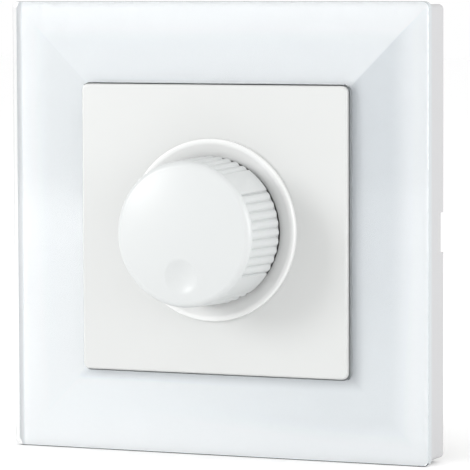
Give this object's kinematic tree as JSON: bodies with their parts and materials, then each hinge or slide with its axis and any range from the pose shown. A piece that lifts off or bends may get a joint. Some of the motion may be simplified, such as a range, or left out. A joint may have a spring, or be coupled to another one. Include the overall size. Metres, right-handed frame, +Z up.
{
  "type": "rotary dimmer switch",
  "caption": "Square glass-framed rotary dimmer for a round flush wall box: a fluted push knob in a dished collar on a cover plate, with a steel yoke and the dimmer mechanism behind.",
  "frame": {"origin": "on the wall plane, on the knob's axis, which is also the centre of the box screw pattern", "axes": "+X to the right seen from the front, +Y into the wall, +Z up"},
  "size_m": [0.086, 0.0545, 0.086],
  "materials": {
    "clear_glass": "polished clear",
    "white_carrier": "fine satin moulding",
    "white_plate": "smooth white gloss",
    "white_knob": "smooth white satin gloss",
    "spring_steel": "blued spring steel",
    "zinc_steel": "bright zinc plate",
    "screw_steel": "zinc plated",
    "grey_nylon": "natural nylon",
    "brass": "turned brass",
    "tinned_brass": "tinned",
    "bronze": "phosphor bronze strip",
    "enamelled_copper": "enamelled wire",
    "grey_moulding": "light grey moulding",
    "black_moulding": "black moulding",
    "red_moulding": "red moulding",
    "brown_laminate": "paper laminate",
    "green_board": "solder lacquer",
    "iron_powder": "painted iron powder",
    "capacitor_case": "moulded box",
    "aluminium": "mill finish",
    "brown_case": "moulded case",
    "beige_lacquer": "lacquer"
  },
  "bodies": {
    "base": {"glass_frame": "clear_glass", "frame_carrier": "white_carrier", "cover_plate": "white_plate", "collar_ring": "white_plate", "shaft_bushing": "brass", "bushing_nut": "brass", "toothed_washer": "spring_steel", "mounting_yoke": "zinc_steel", "housing_lid": "grey_moulding", "mechanism_housing": "grey_moulding", "cover_screws": "screw_steel", "pot_can": "zinc_steel", "resistance_wafer": "brown_laminate", "pot_pins": "tinned_brass", "switch_body": "black_moulding", "return_spring": "spring_steel", "circuit_board": "green_board", "choke_core": "iron_powder", "choke_winding": "enamelled_copper", "film_capacitors": "capacitor_case", "heat_sink": "aluminium", "triac": "black_moulding", "heat_sink_screw": "screw_steel", "radial_fuse": "brown_case", "resistors": "beige_lacquer", "terminal_block": "grey_moulding", "terminal_pillars": "brass", "terminal_screws": "screw_steel"},
    "rotor": {"wiper_rotor": "black_moulding", "wiper_contact": "bronze"},
    "knob": {"knob": "white_knob", "knob_spring_clip": "spring_steel", "control_shaft": "grey_nylon"},
    "plunger": {"switch_plunger": "red_moulding"}
  },
  "joints": [
    {"name": "knob_turn", "type": "hinge", "parent": "base", "child": "rotor", "pos_m": [0, 0, 0], "axis": [0, 1, 0], "range_deg": [0, 300]},
    {"name": "knob_press", "type": "slide", "parent": "rotor", "child": "knob", "axis": [0, 1, 0], "range_m": [0, 0.0009], "stiffness_N_per_m": 2000, "springref_m": -0.0005},
    {"name": "plunger_press", "type": "slide", "parent": "base", "child": "plunger", "axis": [0, 1, 0], "range_m": [0, 0.0009], "deforming": ["return_spring"]}
  ],
  "couplings": [
    {"joint": "plunger_press", "follows": "knob_press", "ratio": 1}
  ]
}
